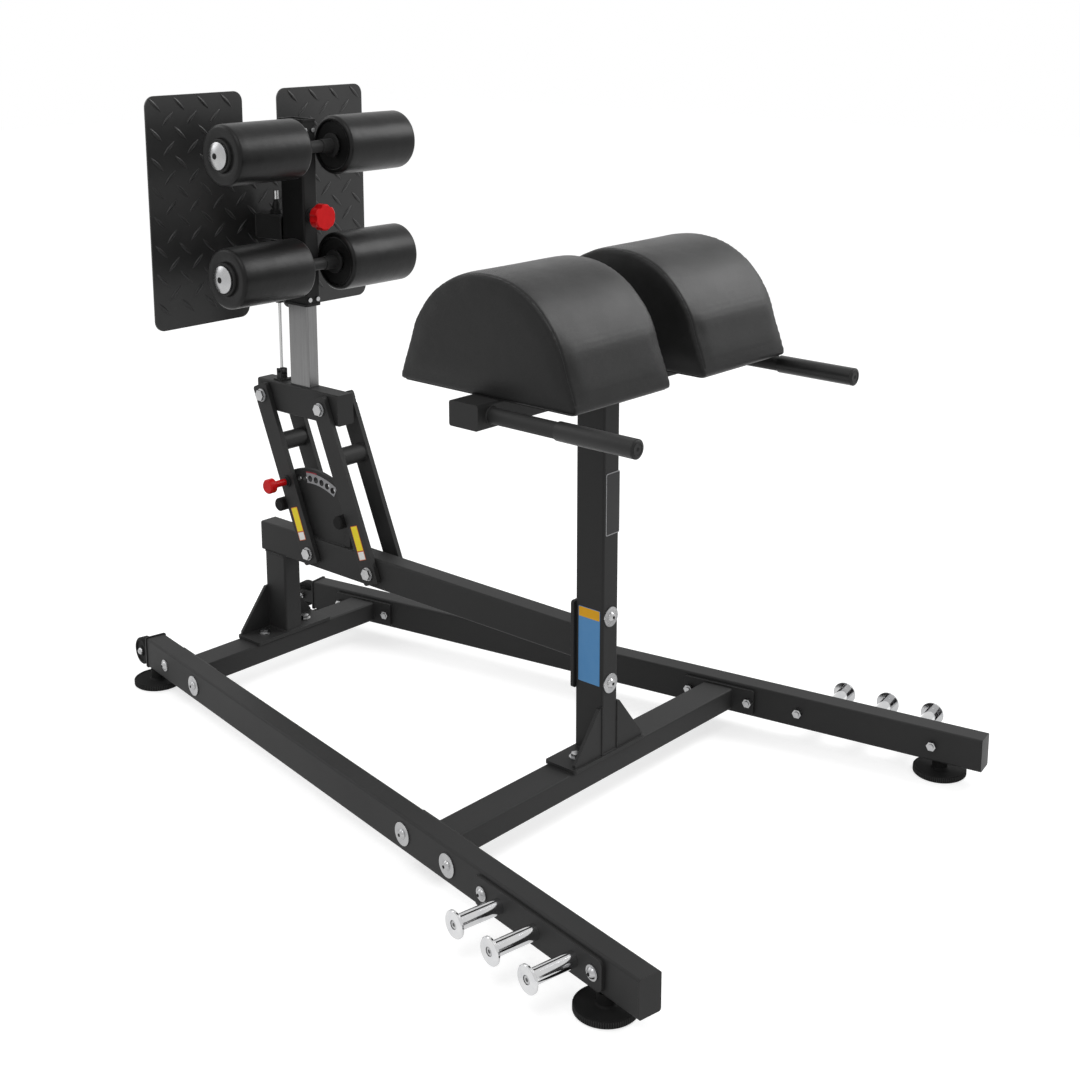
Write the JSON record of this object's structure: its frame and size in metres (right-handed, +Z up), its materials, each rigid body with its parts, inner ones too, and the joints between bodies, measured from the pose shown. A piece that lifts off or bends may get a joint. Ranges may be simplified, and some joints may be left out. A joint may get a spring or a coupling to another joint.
{
  "type": "glute ham developer",
  "caption": "Glute ham bench: thigh pads on an upright, ankle rollers and foot plate sliding on a post carried by a swinging parallelogram linkage.",
  "frame": {"origin": "on the floor, at the centre of the bounding box: halfway between the transport wheels and the front ends of the rails, in the plane of the main beam", "axes": "+X forward, from the foot plate towards the thigh pads and grips; +Y to the left of a user who faces forward; +Z up"},
  "size_m": [1.9035, 1.398, 1.4604],
  "materials": {
    "frame_black": "fine satin powder coat",
    "plastic_black": "moulded, slightly rough",
    "rubber_black": "matt",
    "vinyl_black": "grained upholstery",
    "bright_steel": "plated and polished",
    "satin_steel": "brushed",
    "red_plastic": "glossy"
  },
  "bodies": {
    "frame": {"side_rail_right": "frame_black", "side_rail_left": "frame_black", "rail_front_caps": "plastic_black", "rear_crossmember": "frame_black", "front_crossmember": "frame_black", "rail_bolts": "bright_steel", "wide_washers": "bright_steel", "rail_nuts": "bright_steel", "rear_post": "frame_black", "base_plate_bolts": "bright_steel", "main_beam": "frame_black", "beam_rear_cap": "plastic_black", "beam_bolts": "bright_steel", "adjustment_sector": "frame_black", "rubber_stops": "rubber_black", "front_upright": "frame_black", "crossbar": "frame_black", "crossbar_caps": "plastic_black", "pad_boards": "plastic_black", "pad_bolts": "bright_steel", "thigh_pad_right": "vinyl_black", "thigh_pad_left": "vinyl_black", "handles": "frame_black", "grips": "rubber_black", "grip_plugs": "plastic_black", "peg_plates": "frame_black", "peg_plate_bolts": "bright_steel", "band_pegs": "bright_steel", "band_peg_screws": "bright_steel", "rubber_feet": "rubber_black", "foot_studs": "bright_steel", "wheel_brackets": "frame_black", "wheel_axles": "bright_steel", "lower_pivot_bolts": "bright_steel"},
    "wheel_right": {"transport_wheel_right": "rubber_black"},
    "wheel_left": {"transport_wheel_left": "rubber_black"},
    "rear_link": {"rear_link": "frame_black", "swing_pin_housing": "plastic_black"},
    "front_link": {"front_link": "frame_black"},
    "carriage": {"carriage_tube": "frame_black", "carriage_caps": "plastic_black", "upper_pivot_bolts": "bright_steel", "slide_post": "satin_steel", "slide_post_cap": "plastic_black", "gas_rod": "satin_steel"},
    "slider": {"sleeve": "frame_black", "sleeve_liners": "plastic_black", "liner_screws": "bright_steel", "height_pin_housing": "plastic_black", "roller_axles": "frame_black", "roller_end_caps": "bright_steel", "plate_arm": "frame_black", "foot_plate": "frame_black", "gas_cylinder": "frame_black"},
    "swing_pin": {"swing_pin": "red_plastic"},
    "height_pin": {"height_pin": "red_plastic"},
    "roller_upper_right": {"roller_upper_right": "vinyl_black"},
    "roller_upper_left": {"roller_upper_left": "vinyl_black"},
    "roller_lower_right": {"roller_lower_right": "vinyl_black"},
    "roller_lower_left": {"roller_lower_left": "vinyl_black"}
  },
  "joints": [
    {"name": "swing", "type": "hinge", "parent": "frame", "child": "rear_link", "pos_m": [-0.545, 0, 0.346], "axis": [0, 1, 0], "range_deg": [0, 45.2]},
    {"name": "front_swing", "type": "hinge", "parent": "frame", "child": "front_link", "pos_m": [-0.3305, 0, 0.346], "axis": [0, 1, 0], "range_deg": [0, 45.2]},
    {"name": "carriage_level", "type": "hinge", "parent": "rear_link", "child": "carriage", "pos_m": [-0.70064, 0, 0.7199], "axis": [0, 1, 0], "range_deg": [-45.2, 0]},
    {"name": "height", "type": "slide", "parent": "carriage", "child": "slider", "axis": [0, 0, 1], "range_m": [-0.14, 0.06]},
    {"name": "swing_pin", "type": "slide", "parent": "rear_link", "child": "swing_pin", "axis": [0, 1, 0], "range_m": [0, 0.012]},
    {"name": "height_pin", "type": "slide", "parent": "slider", "child": "height_pin", "axis": [-1, 0, 0], "range_m": [0, 0.012]},
    {"name": "upper_right_roller_spin", "type": "hinge", "parent": "slider", "child": "roller_upper_right", "pos_m": [-0.52814, 0, 1.3364], "axis": [0, 1, 0], "continuous": true},
    {"name": "upper_left_roller_spin", "type": "hinge", "parent": "slider", "child": "roller_upper_left", "pos_m": [-0.52814, 0, 1.3364], "axis": [0, 1, 0], "continuous": true},
    {"name": "lower_right_roller_spin", "type": "hinge", "parent": "slider", "child": "roller_lower_right", "pos_m": [-0.52814, 0, 1.0594], "axis": [0, 1, 0], "continuous": true},
    {"name": "lower_left_roller_spin", "type": "hinge", "parent": "slider", "child": "roller_lower_left", "pos_m": [-0.52814, 0, 1.0594], "axis": [0, 1, 0], "continuous": true},
    {"name": "right_wheel_spin", "type": "hinge", "parent": "frame", "child": "wheel_right", "pos_m": [-0.91618, -0.26717, 0.0635], "axis": [-0.1754, -0.9845, 0], "continuous": true},
    {"name": "left_wheel_spin", "type": "hinge", "parent": "frame", "child": "wheel_left", "pos_m": [-0.91618, 0.26717, 0.0635], "axis": [-0.1754, 0.9845, 0], "continuous": true}
  ],
  "couplings": [
    {"joint": "front_swing", "follows": "swing", "ratio": 1},
    {"joint": "carriage_level", "follows": "swing", "ratio": -1}
  ]
}
